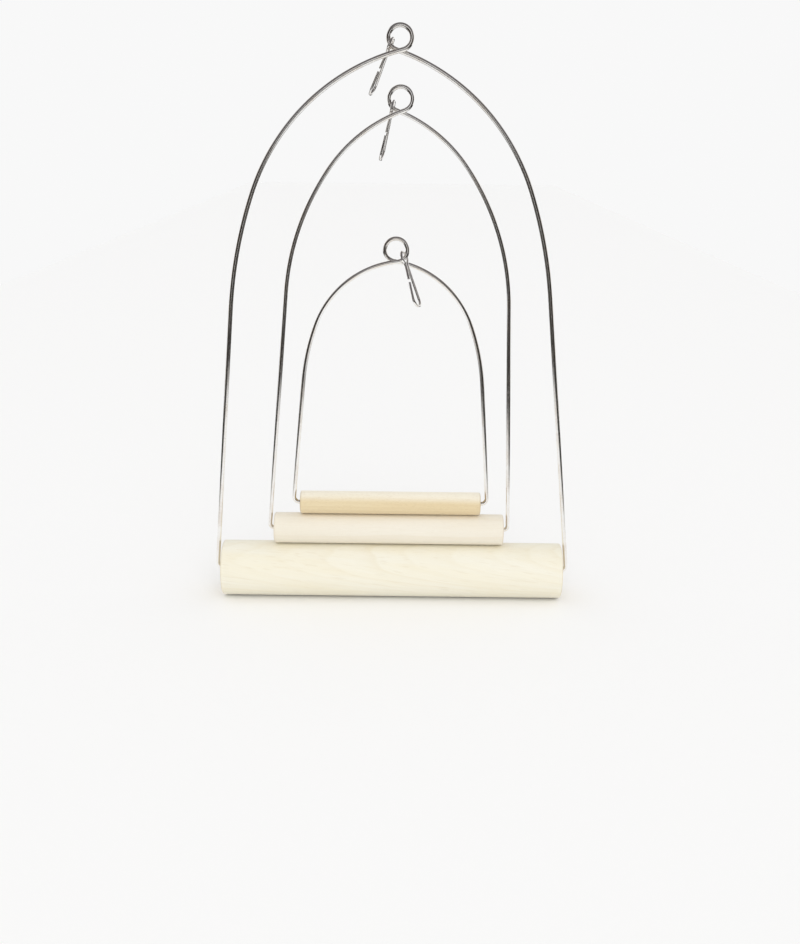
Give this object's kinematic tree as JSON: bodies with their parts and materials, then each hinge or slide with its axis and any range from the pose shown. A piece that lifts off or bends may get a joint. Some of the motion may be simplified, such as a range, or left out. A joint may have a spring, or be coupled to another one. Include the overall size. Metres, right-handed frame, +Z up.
{
  "type": "bird swing set",
  "caption": "Nested set of hanging bird swings, each a bent wire bail with a top ring, a round wooden perch that turns on the wire's ends, and a small wire hook.",
  "frame": {"origin": "centre of the large swing's ring, from which the set hangs", "axes": "+X along the perches to the right as pictured, +Y away from the camera across the arches, +Z up"},
  "size_m": [0.1884, 0.0292, 0.2878],
  "materials": {
    "bail_wire": "bright nickel plated steel wire",
    "hook_wire": "bright nickel plated thin steel wire",
    "large_wood": "bare sanded pale softwood",
    "medium_wood": "bare sanded cream wood",
    "small_wood": "bare sanded tan wood"
  },
  "bodies": {
    "large_bail": {"large_bail": "bail_wire"},
    "large_perch": {"large_perch": "large_wood"},
    "large_hook": {"large_hook": "hook_wire"},
    "medium_bail": {"medium_bail": "bail_wire"},
    "medium_perch": {"medium_perch": "medium_wood"},
    "medium_hook": {"medium_hook": "hook_wire"},
    "small_bail": {"small_bail": "bail_wire"},
    "small_perch": {"small_perch": "small_wood"},
    "small_hook": {"small_hook": "hook_wire"}
  },
  "joints": [
    {"name": "large_perch_spin", "type": "hinge", "parent": "large_bail", "child": "large_perch", "pos_m": [-0.00158, 0, -0.26648], "axis": [1, 0, 0], "continuous": true},
    {"name": "large_hook_swing", "type": "hinge", "parent": "large_bail", "child": "large_hook", "pos_m": [-0.00453, 0.0015, -0.00289], "axis": [0.8856, -0.1651, -0.4342], "range_deg": [0, 140]},
    {"name": "medium_lift_off", "type": "slide", "parent": "large_bail", "child": "medium_bail", "axis": [0, -1, 0], "range_m": [0, 0.12]},
    {"name": "medium_perch_spin", "type": "hinge", "parent": "medium_bail", "child": "medium_perch", "pos_m": [-0.00338, 0, -0.24343], "axis": [1, 0, 0], "continuous": true},
    {"name": "medium_hook_swing", "type": "hinge", "parent": "medium_bail", "child": "medium_hook", "pos_m": [-0.00325, 0.0019, -0.03083], "axis": [0.9595, -0.1371, -0.2463], "range_deg": [0, 140]},
    {"name": "small_lift_off", "type": "slide", "parent": "medium_bail", "child": "small_bail", "axis": [0, -1, 0], "range_m": [0, 0.12]},
    {"name": "small_perch_spin", "type": "hinge", "parent": "small_bail", "child": "small_perch", "pos_m": [-0.00268, 0, -0.22903], "axis": [1, 0, 0], "continuous": true},
    {"name": "small_hook_swing", "type": "hinge", "parent": "small_bail", "child": "small_hook", "pos_m": [0.00317, -0.00171, -0.101], "axis": [-0.8593, 0.3193, -0.3995], "range_deg": [0, 120]}
  ]
}
